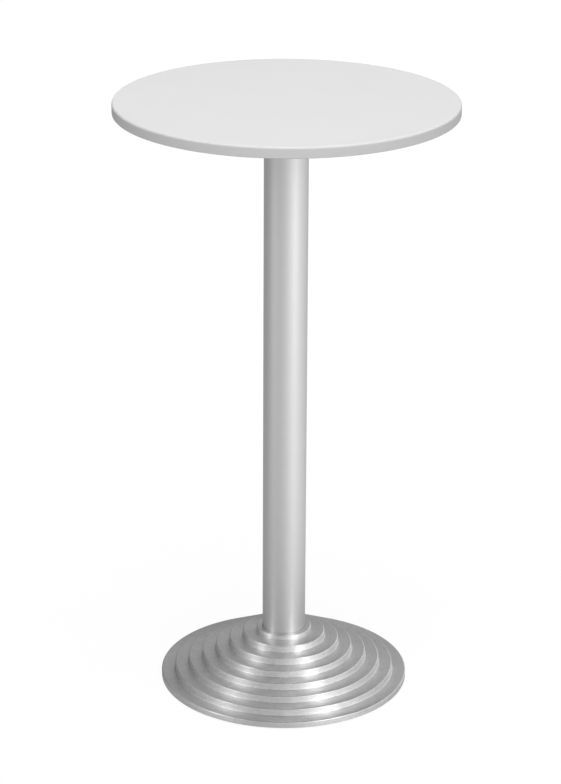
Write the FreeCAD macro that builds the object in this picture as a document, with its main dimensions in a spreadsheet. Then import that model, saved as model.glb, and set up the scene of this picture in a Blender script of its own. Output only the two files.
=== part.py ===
import FreeCAD, Part
import os
import re

import Sketcher

# Round bar-height pedestal table. A lacquered board is screwed to a four-armed spider, and
# one long tie rod clamps the spider, an aluminium tube and a hollow stepped base casting
# together. A cast-iron ring bolted inside the base holds the table down, and four screw
# feet under the base level it.
#
# Millimetres, +Z up. The origin is on the floor, on the axis of the column. Each sub-part
# is drawn in a frame of its own and put in place by its Placement.

# Driving sizes: name, millimetres (or a count) and what it measures.
SIZES = (
    ("table_height", 1090.0, "floor to the upper surface"),
    ("top_diameter", 600.0, "over the edge of the top"),
    ("top_thickness", 19.5, "fibreboard and its lacquer"),
    ("top_edge_radius", 4.0, "rounding of the upper edge of the top"),
    ("top_lower_chamfer", 1.2, "chamfer of the lower edge of the top"),
    ("spider_radius", 150.0, "column axis to the tip of a spider arm"),
    ("arm_count", 4, "arms of the spider"),
    ("arm_width", 30.0, "spider arm, across"),
    ("arm_thickness", 6.0, "flat of a spider arm"),
    ("arm_rib_thickness", 4.0, "stiffening rib along each side of an arm"),
    ("arm_rib_tip_depth", 3.0, "rib below the flat where it ends"),
    ("spider_hub_width", 7.0, "hub flange standing out past the tube"),
    ("spider_hub_depth", 14.0, "table underside to the end of the tube"),
    ("spider_spigot_length", 14.0, "spider spigot inside the tube"),
    ("nut_pocket_diameter", 40.0, "pocket in the spider for the upper rod nut"),
    ("nut_pocket_depth", 17.0, "depth of that pocket"),
    ("screw_inner_radius", 84.0, "column axis to the inner screw of an arm"),
    ("screw_outer_radius", 134.0, "column axis to the outer screw of an arm"),
    ("screw_diameter", 4.5, "wood screw thread"),
    ("screw_length", 16.0, "wood screw under its head"),
    ("screw_head_diameter", 9.0, "pan head"),
    ("screw_head_height", 2.8, "pan head"),
    ("screw_hole_clearance", 0.5, "radial gap of a screw in the arm of the spider"),
    ("tube_diameter", 78.0, "outside of the column"),
    ("tube_wall", 2.0, "wall of the column"),
    ("spigot_clearance", 0.2, "radial gap of both spigots in the tube"),
    ("collar_width", 11.0, "ring round the foot of the tube, visible width"),
    ("collar_height", 9.0, "the same ring, height"),
    ("collar_clearance", 0.15, "radial gap of the ring round the tube"),
    ("base_diameter", 450.0, "lowest step of the base"),
    ("crown_diameter", 150.0, "highest step of the base"),
    ("level_count", 7, "steps of the base, rim included"),
    ("foot_gap", 2.0, "floor to the lower edge of the rim, feet screwed in"),
    ("rim_height", 11.25, "height of the lowest step"),
    ("riser_height", 12.75, "height of each further step"),
    ("casting_wall", 7.0, "metal below the foot of each riser, down to the hollow"),
    ("nose_chamfer", 0.8, "eased outer edge of every step"),
    ("rib_thickness", 4.0, "radial rib of the casting"),
    ("rib_count", 8, "radial ribs of the casting"),
    ("rib_clearance", 4.0, "ribs above the ballast ring"),
    ("base_spigot_length", 12.0, "spigot of the casting inside the tube"),
    ("base_spigot_wall", 5.0, "wall of that spigot"),
    ("hub_land", 5.0, "hub of the casting standing out past the clamp washer"),
    ("hub_length", 30.0, "crown of the casting to the underside of its hub"),
    ("rod_diameter", 12.0, "tie rod, M12"),
    ("rod_hole_clearance", 0.5, "radial gap round the tie rod"),
    ("rod_projection", 3.0, "tie rod past each nut"),
    ("rod_end_chamfer", 1.0, "both ends of the tie rod"),
    ("rod_nut_flats", 18.0, "M12 nut across flats"),
    ("rod_nut_height", 10.8, "M12 nut"),
    ("rod_washer_diameter", 24.0, "washer under the upper nut"),
    ("rod_washer_thickness", 2.5, "washer under the upper nut"),
    ("clamp_washer_diameter", 50.0, "thick washer under the hub"),
    ("clamp_washer_thickness", 5.0, "thick washer under the hub"),
    ("ballast_lift", 7.0, "rim's lower edge to the underside of the ballast ring"),
    ("ballast_top_gap", 1.75, "ballast ring below the hollow's height under the third riser"),
    ("ballast_side_gap", 5.0, "ballast ring inside the third riser"),
    ("ballast_bore", 100.0, "opening of the ballast ring"),
    ("ballast_chamfer", 3.0, "lower edge of the ballast ring"),
    ("ballast_bolt_count", 4, "bolts of the ballast ring"),
    ("ballast_boss_diameter", 22.0, "casting boss over each of these bolts"),
    ("counterbore_diameter", 21.0, "pocket round each bolt head"),
    ("counterbore_depth", 9.0, "pocket round each bolt head"),
    ("bolt_diameter", 8.0, "ballast bolt, M8"),
    ("bolt_length", 30.0, "ballast bolt under its head"),
    ("bolt_hole_clearance", 0.5, "radial gap in the ballast ring"),
    ("bolt_head_flats", 13.0, "M8 head across flats"),
    ("bolt_head_height", 5.3, "M8 head"),
    ("bolt_washer_diameter", 16.0, "M8 washer"),
    ("bolt_washer_thickness", 1.6, "M8 washer"),
    ("thread_clearance", 0.05, "radial gap of a screw in its threaded hole"),
    ("tapped_depth_spare", 3.0, "threaded or pilot hole beyond the screw's end"),
    ("foot_boss_diameter", 20.0, "casting boss over each foot"),
    ("foot_bore_roof", 3.0, "metal left above the threaded hole of a foot"),
    ("foot_pad_diameter", 32.0, "pad on the floor"),
    ("foot_pad_thickness", 5.0, "pad on the floor"),
    ("foot_pad_floor", 1.8, "pad under its socket"),
    ("foot_pad_chamfer", 1.2, "upper edge of the pad"),
    ("foot_side_gap", 4.0, "pad inside the second riser"),
    ("swivel_neck_diameter", 10.0, "stem inside the pad"),
    ("swivel_clearance", 0.05, "radial gap of the stem in the pad"),
    ("swivel_play", 0.15, "axial gap of the stem in the pad"),
    ("foot_hex_flats", 13.0, "spanner hexagon of the stem"),
    ("foot_hex_height", 5.3, "spanner hexagon of the stem"),
    ("foot_hex_lift", 0.3, "hexagon above the pad"),
    ("foot_stop_gap", 0.4, "hexagon below its boss, screwed right in"),
    ("foot_stem_diameter", 8.0, "stem thread, M8"),
    ("foot_stem_end_gap", 0.5, "stem below the end of its hole"),
)
NAMES = {name for name, _, _ in SIZES}

# Two edges or points this near count as the same one.
SAME = 0.01

doc = FreeCAD.newDocument("bar_table")
sheet = doc.addObject("Spreadsheet::Sheet", "Sizes")
for row, (name, number, meaning) in enumerate(SIZES, start=1):
    sheet.set(f"A{row}", name)
    sheet.set(f"B{row}", f"{number:g}")
    sheet.set(f"C{row}", meaning)
    sheet.setAlias(f"B{row}", name)
doc.recompute()


# --- sizes as expressions ---------------------------------------------------------------

def refer(expression):
    """The expression with each size written as a reference to the sheet."""
    return re.sub(r"[a-z_]+", lambda word: "Sizes." + word[0] if word[0] in NAMES else word[0], expression)


def value(expression):
    """What an expression of sizes comes to now."""
    return float(sheet.evalExpression(refer(expression)))


def count(name):
    """A size that is a whole number."""
    return round(value(name))


def bind(thing, **properties):
    """Tie properties of an object to expressions of sizes; a dot in a name is written __."""
    for name, expression in properties.items():
        thing.setExpression(name.replace("__", "."), refer(expression))


def place(thing, x="0", y="0", z="0"):
    """Put a finished sub-part where it belongs."""
    bind(thing, Placement__Base__x=x, Placement__Base__y=y, Placement__Base__z=z)
    return thing


# --- building blocks of a body ----------------------------------------------------------

def new_body(label):
    """An empty body whose label names the sub-part."""
    body = doc.addObject("PartDesign::Body", label)
    body.Label = label
    return body


def origin_part(body, role):
    """One of the body's own origin planes or axes."""
    return next(part for part in body.Origin.OriginFeatures if part.Role == role)


def new_sketch(body, name, plane, lift="0", shift="0"):
    """An empty sketch on an origin plane, lifted off it and shifted along its own x."""
    sketch = body.newObject("Sketcher::SketchObject", name)
    sketch.AttachmentSupport = [(origin_part(body, plane), "")]
    sketch.MapMode = "FlatFace"
    bind(sketch, AttachmentOffset__Base__z=lift, AttachmentOffset__Base__x=shift)
    return sketch


def pin(sketch, geometry, vertex, x, y):
    """Hold one vertex of a sketch at a point given by two expressions."""
    for kind, axis_line, coordinate in (("DistanceX", -2, x), ("DistanceY", -1, y)):
        if coordinate == "0":
            sketch.addConstraint(Sketcher.Constraint("PointOnObject", geometry, vertex, axis_line))
            continue
        index = sketch.addConstraint(
            Sketcher.Constraint(kind, -1, 1, geometry, vertex, value(coordinate)))
        sketch.setExpression(f"Constraints[{index}]", refer(coordinate))


def draw_outline(sketch, corners):
    """Closed outline of straight edges through corners given as pairs of expressions."""
    points = [FreeCAD.Vector(value(x), value(y), 0) for x, y in corners]
    edges = sketch.addGeometry(
        [Part.LineSegment(start, end) for start, end in zip(points, points[1:] + points[:1])])
    for before, edge, (x, y) in zip(edges[-1:] + edges[:-1], edges, corners):
        sketch.addConstraint(Sketcher.Constraint("Coincident", before, 2, edge, 1))
        pin(sketch, edge, 1, x, y)


def draw_circle(sketch, radius, x="0", y="0"):
    """A circle round a point."""
    centre = FreeCAD.Vector(value(x), value(y), 0)
    circle = sketch.addGeometry(Part.Circle(centre, FreeCAD.Vector(0, 0, 1), value(radius)))
    pin(sketch, circle, 3, x, y)
    index = sketch.addConstraint(Sketcher.Constraint("Radius", circle, value(radius)))
    sketch.setExpression(f"Constraints[{index}]", refer(radius))


def hexagon(flats):
    """Corners of a hexagon of the given width across flats, centred on the sketch."""
    return [(f"{flats} / sqrt(3) * cos({angle})", f"{flats} / sqrt(3) * sin({angle})" if angle % 180 else "0")
            for angle in range(0, 360, 60)]


def add_feature(body, kind, name, sketch):
    """A feature made from a sketch."""
    feature = body.newObject(f"PartDesign::{kind}", name)
    feature.Profile = sketch
    sketch.Visibility = False
    return feature


def turn(body, name, corners, shift="0"):
    """Revolve an outline of (radius, height) corners about the upright line at its shift."""
    sketch = new_sketch(body, f"{name}_section", "XZ_Plane", shift=shift)
    draw_outline(sketch, corners)
    feature = add_feature(body, "Revolution", name, sketch)
    feature.ReferenceAxis = (sketch, ["V_Axis"])
    feature.Angle = 360
    return feature


def pad(body, name, sketch, length, down=False, centred=False):
    """Grow a sketch into a solid."""
    feature = add_feature(body, "Pad", name, sketch)
    bind(feature, Length=length)
    feature.Reversed = down
    if centred:
        feature.SideType = "Symmetric"
    return feature


def pocket(body, name, sketch, length, up=False):
    """Sink a sketch into the solid."""
    feature = add_feature(body, "Pocket", name, sketch)
    bind(feature, Length=length)
    feature.Reversed = up
    return feature


def repeat_round(body, name, features, times):
    """Repeat features evenly round the body's upright axis."""
    pattern = body.newObject("PartDesign::PolarPattern", name)
    pattern.Originals = features
    pattern.Axis = (origin_part(body, "Z_Axis"), [""])
    pattern.Angle = 360
    bind(pattern, Occurrences=times)
    body.Tip = pattern
    return pattern


def soften(body, name, kind, amount, circles):
    """Fillet or chamfer the circular edges that lie at the given (radius, height) pairs."""
    doc.recompute()
    wanted = [(value(radius), value(height)) for radius, height in circles]
    base = body.Tip
    edges = []
    for index, edge in enumerate(base.Shape.Edges, start=1):
        curve = edge.Curve
        if isinstance(curve, Part.Circle) and any(
                abs(curve.Radius - radius) < SAME and abs(curve.Center.z - height) < SAME
                for radius, height in wanted):
            edges.append(f"Edge{index}")
    feature = body.newObject(f"PartDesign::{kind}", name)
    feature.Base = (base, edges)
    bind(feature, **{"Radius" if kind == "Fillet" else "Size": amount})
    return feature


# --- heights and radii that several sub-parts share ---------------------------------------

TOP_UNDERSIDE = "(table_height - top_thickness)"
TUBE_BORE_RADIUS = "(tube_diameter / 2 - tube_wall)"
SPIGOT_RADIUS = f"({TUBE_BORE_RADIUS} - spigot_clearance)"
ROD_HOLE_RADIUS = "(rod_diameter / 2 + rod_hole_clearance)"
LEVELS = count("level_count")
TREAD_WIDTH = "((base_diameter - crown_diameter) / (2 * (level_count - 1)))"


def level_radius(level):
    """Outer radius of a step of the base, counted from the rim at 0."""
    return f"(base_diameter / 2 - {level} * {TREAD_WIDTH})"


def tread_height(level):
    """Height of a step's tread above the lower edge of the rim."""
    return f"(rim_height + {level} * riser_height)"


CROWN = tread_height(LEVELS - 1)
TUBE_FOOT = f"(foot_gap + {CROWN})"
TUBE_TOP = f"({TOP_UNDERSIDE} - spider_hub_depth)"
HUB_UNDERSIDE = f"({CROWN} - hub_length)"
HUB_RADIUS = "(clamp_washer_diameter / 2 + hub_land)"

# The ballast ring lies inside the third riser, below the height of the hollow there.
BALLAST_TOP = f"({tread_height(2)} - casting_wall - ballast_top_gap)"
BALLAST_THICKNESS = f"({BALLAST_TOP} - ballast_lift)"
BALLAST_RADIUS = f"({level_radius(3)} - ballast_side_gap)"
BALLAST_BOLT_CIRCLE = f"({level_radius(4)} - casting_wall / 2 - ballast_boss_diameter / 2)"

# A foot stands just inside the second riser, so its pad clears the slope of the hollow.
FOOT_CIRCLE = f"({level_radius(1)} - foot_side_gap - foot_pad_diameter / 2)"
FOOT_HEX_BASE = "(foot_pad_thickness + foot_hex_lift)"
FOOT_HEX_TOP = f"({FOOT_HEX_BASE} + foot_hex_height)"
FOOT_BOSS_BASE = f"({FOOT_HEX_TOP} + foot_stop_gap - foot_gap)"
FOOT_BORE_END = f"({tread_height(1)} - foot_bore_roof)"

# The feet stand between the arms of the spider; each angle is counted from +X.
FOOT_CORNERS = (("back_right", 45), ("back_left", 135), ("front_left", 225), ("front_right", 315))


def foot_centre(angle):
    """Where the axis of a foot stands, as a pair of expressions."""
    return f"{FOOT_CIRCLE} * cos({angle})", f"{FOOT_CIRCLE} * sin({angle})"


# --- the top ------------------------------------------------------------------------------

def draw_screw_holes(sketch, radius):
    """The two screws of the arm that lies along x."""
    draw_circle(sketch, radius, x="screw_inner_radius")
    draw_circle(sketch, radius, x="screw_outer_radius")


def make_table_top():
    """Lacquered board with rounded edges and pilot holes for the spider's screws."""
    body = new_body("table_top")
    radius = "(top_diameter / 2)"
    face = new_sketch(body, "board_face", "XY_Plane")
    draw_circle(face, radius)
    pad(body, "board", face, "top_thickness")
    soften(body, "upper_edge", "Fillet", "top_edge_radius", [(radius, "top_thickness")])
    soften(body, "lower_edge", "Chamfer", "top_lower_chamfer", [(radius, "0")])
    pilots = new_sketch(body, "pilot_places", "XY_Plane")
    draw_screw_holes(pilots, "screw_diameter / 2 + thread_clearance")
    depth = "screw_length - arm_thickness + tapped_depth_spare"
    holes = pocket(body, "pilot_holes", pilots, depth, up=True)
    repeat_round(body, "pilot_holes_round", [holes], "arm_count")
    return place(body, z=TOP_UNDERSIDE)


# --- the spider and what clamps the column ---------------------------------------------------

def make_top_spider():
    """Cast hub with channel-section arms; a spigot enters the tube, a pocket holds the rod nut."""
    body = new_body("top_spider")
    hub, nut_pocket = "(tube_diameter / 2 + spider_hub_width)", "(nut_pocket_diameter / 2)"
    spigot_end = "(-spider_hub_depth - spider_spigot_length)"
    turn(body, "hub", [
        (nut_pocket, "0"), (hub, "0"), (hub, "-spider_hub_depth"), (SPIGOT_RADIUS, "-spider_hub_depth"),
        (SPIGOT_RADIUS, spigot_end), (ROD_HOLE_RADIUS, spigot_end), (ROD_HOLE_RADIUS, "-nut_pocket_depth"),
        (nut_pocket, "-nut_pocket_depth")])

    root, tip = "(tube_diameter / 2)", "(spider_radius - arm_width / 2)"
    flat = new_sketch(body, "arm_outline", "XY_Plane")
    draw_outline(flat, [(root, "-arm_width / 2"), (tip, "-arm_width / 2"),
                        (tip, "arm_width / 2"), (root, "arm_width / 2")])
    features = [pad(body, "arm", flat, "arm_thickness", down=True)]
    end = new_sketch(body, "arm_tip_outline", "XY_Plane")
    draw_circle(end, "arm_width / 2", x=tip)
    features.append(pad(body, "arm_tip", end, "arm_thickness", down=True))
    for side, sign in (("left", "-1"), ("right", "1")):
        rib = new_sketch(body, f"{side}_rib_outline", "XZ_Plane",
                         lift=f"{sign} * (arm_width - arm_rib_thickness) / 2")
        draw_outline(rib, [(root, "-arm_thickness / 2"), (tip, "-arm_thickness / 2"),
                           (tip, "-arm_thickness - arm_rib_tip_depth"), (root, "-spider_hub_depth")])
        features.append(pad(body, f"{side}_rib", rib, "arm_rib_thickness", centred=True))
    repeat_round(body, "arms", features, "arm_count")

    places = new_sketch(body, "hole_places", "XY_Plane")
    draw_screw_holes(places, "screw_diameter / 2 + screw_hole_clearance")
    holes = pocket(body, "screw_holes", places, "arm_thickness")
    repeat_round(body, "screw_holes_round", [holes], "arm_count")
    return place(body, z=TOP_UNDERSIDE)


def make_spider_screws():
    """Pan-headed wood screws, two to an arm, driven up into the board."""
    body = new_body("spider_screws")
    shank, head = "(screw_diameter / 2)", "(screw_head_diameter / 2)"
    seat, point = "(-arm_thickness)", "(screw_length - arm_thickness)"
    section = [
        ("0", f"{seat} - screw_head_height"), (head, f"{seat} - screw_head_height"), (head, seat),
        (shank, seat), (shank, point), ("0", point)]
    screws = [turn(body, f"{where}_screw", section, shift=f"screw_{where}_radius")
              for where in ("inner", "outer")]
    repeat_round(body, "screws_round", screws, "arm_count")
    return place(body, z=TOP_UNDERSIDE)


def make_column_tube():
    """Plain round tube between the base casting and the spider."""
    body = new_body("column_tube")
    section = new_sketch(body, "tube_section", "XY_Plane")
    draw_circle(section, "tube_diameter / 2")
    draw_circle(section, TUBE_BORE_RADIUS)
    pad(body, "tube", section, f"{TUBE_TOP} - {TUBE_FOOT}")
    return place(body, z=TUBE_FOOT)


ROD_TOP = ("(" + TOP_UNDERSIDE + " - nut_pocket_depth + rod_washer_thickness + rod_nut_height"
           " + rod_projection)")
ROD_FOOT = f"(foot_gap + {HUB_UNDERSIDE} - clamp_washer_thickness - rod_nut_height - rod_projection)"


def make_tie_rod():
    """Threaded rod down the middle of the tube."""
    body = new_body("tie_rod")
    section = new_sketch(body, "rod_section", "XY_Plane")
    draw_circle(section, "rod_diameter / 2")
    length = f"({ROD_TOP} - {ROD_FOOT})"
    pad(body, "rod", section, length)
    soften(body, "rod_ends", "Chamfer", "rod_end_chamfer",
           [("rod_diameter / 2", "0"), ("rod_diameter / 2", length)])
    return place(body, z=ROD_FOOT)


def make_rod_nut(label, height):
    """Hexagon nut on the tie rod."""
    body = new_body(label)
    section = new_sketch(body, "nut_section", "XY_Plane")
    draw_outline(section, hexagon("rod_nut_flats"))
    draw_circle(section, "rod_diameter / 2 + thread_clearance")
    pad(body, "nut", section, "rod_nut_height")
    return place(body, z=height)


def make_washer(label, diameter, bore_radius, thickness, height):
    """Flat washer, cut from two cylinders."""
    disc = doc.addObject("Part::Cylinder", f"{label}_disc")
    bind(disc, Radius=f"{diameter} / 2", Height=thickness)
    bore = doc.addObject("Part::Cylinder", f"{label}_bore")
    bind(bore, Radius=bore_radius, Height=thickness)
    washer = doc.addObject("Part::Cut", label)
    washer.Base = disc
    washer.Tool = bore
    washer.Label = label
    return place(washer, z=height)


# --- the base ---------------------------------------------------------------------------------

def make_column_collar():
    """Turned ring that covers the joint between tube and casting."""
    body = new_body("column_collar")
    inside, outside = "(tube_diameter / 2 + collar_clearance)", "(tube_diameter / 2 + collar_width)"
    turn(body, "ring", [(inside, "0"), (outside, "0"), (outside, "collar_height"), (inside, "collar_height")])
    soften(body, "nose", "Chamfer", "nose_chamfer", [(outside, "collar_height")])
    return place(body, z=TUBE_FOOT)


def make_base_casting():
    """Casting stepped outside and cored to a plain cone, with radial ribs, bosses and a hub."""
    body = new_body("base_casting")
    steps, foot = [], "0"
    for level in range(LEVELS):
        steps += [(level_radius(level), foot), (level_radius(level), tread_height(level))]
        foot = tread_height(level)

    # The slope of the hollow passes one wall below the foot of every riser.
    mouth = f"({level_radius(1)} + (rim_height - casting_wall) * {TREAD_WIDTH} / riser_height)"
    ceiling, ceiling_radius = f"({CROWN} - casting_wall)", level_radius(LEVELS)
    spigot_end = f"({CROWN} + base_spigot_length)"
    spigot_bore = f"({SPIGOT_RADIUS} - base_spigot_wall)"
    turn(body, "stepped_shell", steps + [
        (SPIGOT_RADIUS, CROWN), (SPIGOT_RADIUS, spigot_end), (spigot_bore, spigot_end), (spigot_bore, CROWN),
        (ROD_HOLE_RADIUS, CROWN), (ROD_HOLE_RADIUS, HUB_UNDERSIDE),
        (HUB_RADIUS, HUB_UNDERSIDE), (HUB_RADIUS, ceiling), (ceiling_radius, ceiling), (mouth, "0")])

    # A rib fills the angle between hub and slope, above the ballast ring.
    half_wall = "casting_wall / 2"
    rib_inner, rib_base = "(clamp_washer_diameter / 2 + hub_land / 2)", f"({BALLAST_TOP} + rib_clearance)"
    rib_crest, over_third = f"({CROWN} - {half_wall})", f"({tread_height(2)} - {half_wall} - {rib_base})"
    rib_end = f"({level_radius(3)} + {over_third} * {TREAD_WIDTH} / riser_height)"
    rib = new_sketch(body, "rib_outline", "XZ_Plane")
    draw_outline(rib, [(rib_inner, rib_base), (rib_end, rib_base), (ceiling_radius, rib_crest),
                       (rib_inner, rib_crest)])
    ribs = pad(body, "rib", rib, "rib_thickness", centred=True)
    repeat_round(body, "ribs", [ribs], "rib_count")

    ballast_boss = new_sketch(body, "ballast_boss_outline", "XY_Plane", lift=BALLAST_TOP)
    draw_circle(ballast_boss, "ballast_boss_diameter / 2", x=BALLAST_BOLT_CIRCLE)
    bosses = pad(body, "ballast_boss", ballast_boss, f"{tread_height(4)} - {half_wall} - {BALLAST_TOP}")
    repeat_round(body, "ballast_bosses", [bosses], "ballast_bolt_count")

    first_foot = foot_centre(FOOT_CORNERS[0][1])
    foot_boss = new_sketch(body, "foot_boss_outline", "XY_Plane", lift=FOOT_BOSS_BASE)
    draw_circle(foot_boss, "foot_boss_diameter / 2", *first_foot)
    bosses = pad(body, "foot_boss", foot_boss, f"{tread_height(1)} - {half_wall} - {FOOT_BOSS_BASE}")
    repeat_round(body, "foot_bosses", [bosses], f"{len(FOOT_CORNERS)}")

    bolt_hole = new_sketch(body, "ballast_thread_outline", "XY_Plane", lift=BALLAST_TOP)
    draw_circle(bolt_hole, "bolt_diameter / 2 + thread_clearance", x=BALLAST_BOLT_CIRCLE)
    bolt_tip = f"(counterbore_depth - bolt_washer_thickness + bolt_length - {BALLAST_THICKNESS})"
    threads = pocket(body, "ballast_thread", bolt_hole, f"{bolt_tip} + tapped_depth_spare", up=True)
    repeat_round(body, "ballast_threads", [threads], "ballast_bolt_count")

    foot_hole = new_sketch(body, "foot_thread_outline", "XY_Plane", lift=FOOT_BOSS_BASE)
    draw_circle(foot_hole, "foot_stem_diameter / 2 + thread_clearance", *first_foot)
    threads = pocket(body, "foot_thread", foot_hole, f"{FOOT_BORE_END} - {FOOT_BOSS_BASE}", up=True)
    repeat_round(body, "foot_threads", [threads], f"{len(FOOT_CORNERS)}")

    noses = [(level_radius(level), tread_height(level)) for level in range(LEVELS)]
    soften(body, "noses", "Chamfer", "nose_chamfer", noses)
    return place(body, z="foot_gap")


def make_ballast_ring():
    """Cast-iron ring with counterbored bolt holes."""
    body = new_body("ballast_ring")
    bore = "(ballast_bore / 2)"
    turn(body, "ring", [(bore, "0"), (BALLAST_RADIUS, "0"), (BALLAST_RADIUS, BALLAST_THICKNESS),
                        (bore, BALLAST_THICKNESS)])
    soften(body, "lower_edge", "Chamfer", "ballast_chamfer", [(BALLAST_RADIUS, "0")])
    hole = new_sketch(body, "hole_outline", "XY_Plane")
    draw_circle(hole, "bolt_diameter / 2 + bolt_hole_clearance", x=BALLAST_BOLT_CIRCLE)
    through = pocket(body, "hole", hole, BALLAST_THICKNESS, up=True)
    mouth = new_sketch(body, "counterbore_outline", "XY_Plane")
    draw_circle(mouth, "counterbore_diameter / 2", x=BALLAST_BOLT_CIRCLE)
    counterbore = pocket(body, "counterbore", mouth, "counterbore_depth", up=True)
    repeat_round(body, "bolt_holes", [through, counterbore], "ballast_bolt_count")
    return place(body, z="foot_gap + ballast_lift")


def make_ballast_bolts():
    """Hexagon bolts that hold the ballast ring up to the casting."""
    body = new_body("ballast_bolts")
    head_top = "(counterbore_depth - bolt_washer_thickness)"
    corners = [(f"{x} + {BALLAST_BOLT_CIRCLE}", y) for x, y in hexagon("bolt_head_flats")]
    head = new_sketch(body, "head_outline", "XY_Plane", lift=head_top)
    draw_outline(head, corners)
    heads = pad(body, "head", head, "bolt_head_height", down=True)
    shank = new_sketch(body, "shank_outline", "XY_Plane", lift=head_top)
    draw_circle(shank, "bolt_diameter / 2", x=BALLAST_BOLT_CIRCLE)
    shanks = pad(body, "shank", shank, "bolt_length")
    repeat_round(body, "bolts_round", [heads, shanks], "ballast_bolt_count")
    return place(body, z="foot_gap + ballast_lift")


def make_ballast_washers():
    """Washers between the bolt heads and the ballast ring."""
    body = new_body("ballast_washers")
    section = new_sketch(body, "washer_outline", "XY_Plane", lift="counterbore_depth - bolt_washer_thickness")
    draw_circle(section, "bolt_washer_diameter / 2", x=BALLAST_BOLT_CIRCLE)
    draw_circle(section, "bolt_diameter / 2 + bolt_hole_clearance / 2", x=BALLAST_BOLT_CIRCLE)
    washers = pad(body, "washer", section, "bolt_washer_thickness")
    repeat_round(body, "washers_round", [washers], "ballast_bolt_count")
    return place(body, z="foot_gap + ballast_lift")


# --- the feet -----------------------------------------------------------------------------------

def put_at_foot(body, angle):
    """Place a piece of a foot on the foot circle."""
    x, y = foot_centre(angle)
    return place(body, x=x, y=y)


def make_foot_pad(corner, angle):
    """Plastic pad with a socket in which the stem turns."""
    body = new_body(f"foot_pad_{corner}")
    edge, upper = "(foot_pad_diameter / 2)", "foot_pad_thickness"
    socket = "(swivel_neck_diameter / 2 + swivel_clearance)"
    turn(body, "pad", [
        ("0", "0"), (edge, "0"), (edge, upper), (socket, upper), (socket, "foot_pad_floor"),
        ("0", "foot_pad_floor")])
    soften(body, "pad_edge", "Chamfer", "foot_pad_chamfer", [(edge, upper)])
    return put_at_foot(body, angle)


def make_foot_stem(corner, angle):
    """Threaded stem with a spanner hexagon and the neck that turns in the pad."""
    body = new_body(f"foot_stem_{corner}")
    neck, stem = "(swivel_neck_diameter / 2)", "(foot_stem_diameter / 2)"
    seat, tip = "(foot_pad_floor + swivel_play)", f"(foot_gap + {FOOT_BORE_END} - foot_stem_end_gap)"
    turn(body, "stem", [
        ("0", seat), (neck, seat), (neck, FOOT_HEX_BASE), (stem, FOOT_HEX_BASE), (stem, tip), ("0", tip)])
    flats = new_sketch(body, "hexagon_outline", "XY_Plane", lift=FOOT_HEX_BASE)
    draw_outline(flats, hexagon("foot_hex_flats"))
    pad(body, "hexagon", flats, "foot_hex_height")
    return put_at_foot(body, angle)


def make_all():
    """Every sub-part of the table, from the top down."""
    nut_seat = f"({TOP_UNDERSIDE} - nut_pocket_depth)"
    clamp_seat = f"(foot_gap + {HUB_UNDERSIDE} - clamp_washer_thickness)"
    parts = [
        make_table_top(),
        make_top_spider(),
        make_spider_screws(),
        make_column_tube(),
        make_tie_rod(),
        make_rod_nut("rod_nut_top", f"{nut_seat} + rod_washer_thickness"),
        make_washer("rod_washer_top", "rod_washer_diameter", ROD_HOLE_RADIUS, "rod_washer_thickness", nut_seat),
        make_rod_nut("rod_nut_bottom", f"{clamp_seat} - rod_nut_height"),
        make_washer("clamp_washer", "clamp_washer_diameter", ROD_HOLE_RADIUS, "clamp_washer_thickness",
                    clamp_seat),
        make_column_collar(),
        make_base_casting(),
        make_ballast_ring(),
        make_ballast_bolts(),
        make_ballast_washers(),
    ]
    for corner, angle in FOOT_CORNERS:
        parts.append(make_foot_pad(corner, angle))
        parts.append(make_foot_stem(corner, angle))
    return parts


def check_document():
    """Stop if anything in the document failed to build."""
    for thing in doc.Objects:
        if "Invalid" in thing.State or "Error" in thing.State:
            raise RuntimeError(f"{thing.Label} did not build: {thing.State}")


def write_parts(parts):
    """Write each sub-part's solid to parts/ under its label."""
    os.makedirs("parts", exist_ok=True)
    for part in parts:
        if part.Shape.isNull() or not part.Shape.isValid():
            raise RuntimeError(f"{part.Label} has no valid shape")
    for part in parts:
        part.Shape.exportStep(os.path.join("parts", f"{part.Label}.step"))


sub_parts = make_all()
doc.recompute()
check_document()
write_parts(sub_parts)
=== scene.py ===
"""Looks of a bar-height pedestal table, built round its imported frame.

A lacquered round board stands on a cast spider, a satin aluminium tube and a stepped
aluminium base with an iron ballast ring inside and four screw feet below. Each sub-assembly
is a class that holds its sizes in millimetres, models its pieces and dresses them.
"""

from __future__ import annotations

import logging
import math
from collections.abc import Callable, Mapping, Sequence
from dataclasses import dataclass
from enum import Enum
from itertools import zip_longest

import bmesh
import bpy
from mathutils import Matrix, Vector

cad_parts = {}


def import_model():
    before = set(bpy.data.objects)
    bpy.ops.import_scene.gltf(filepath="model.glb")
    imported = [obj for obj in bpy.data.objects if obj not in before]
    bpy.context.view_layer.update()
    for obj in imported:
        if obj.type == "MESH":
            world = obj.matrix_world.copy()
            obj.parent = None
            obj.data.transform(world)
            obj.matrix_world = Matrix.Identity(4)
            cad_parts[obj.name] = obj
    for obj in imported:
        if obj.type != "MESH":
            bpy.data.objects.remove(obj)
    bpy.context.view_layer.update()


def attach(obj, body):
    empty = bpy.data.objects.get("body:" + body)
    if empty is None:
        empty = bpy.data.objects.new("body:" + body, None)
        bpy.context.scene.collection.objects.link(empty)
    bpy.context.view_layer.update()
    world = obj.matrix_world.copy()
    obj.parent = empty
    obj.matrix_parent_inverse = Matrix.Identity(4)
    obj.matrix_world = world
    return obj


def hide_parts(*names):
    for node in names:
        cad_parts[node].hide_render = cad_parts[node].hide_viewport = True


LOG = logging.getLogger("bar_table")
MM = 0.001

# Segments of a full turn: for what is broad, for small turned pieces and for threads.
BROAD_STEPS = 256
SMALL_STEPS = 64
THREAD_STEPS = 24

# Where the other three of four like things stand, in degrees from the first.
QUARTERS = (90, 180, 270)

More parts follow.
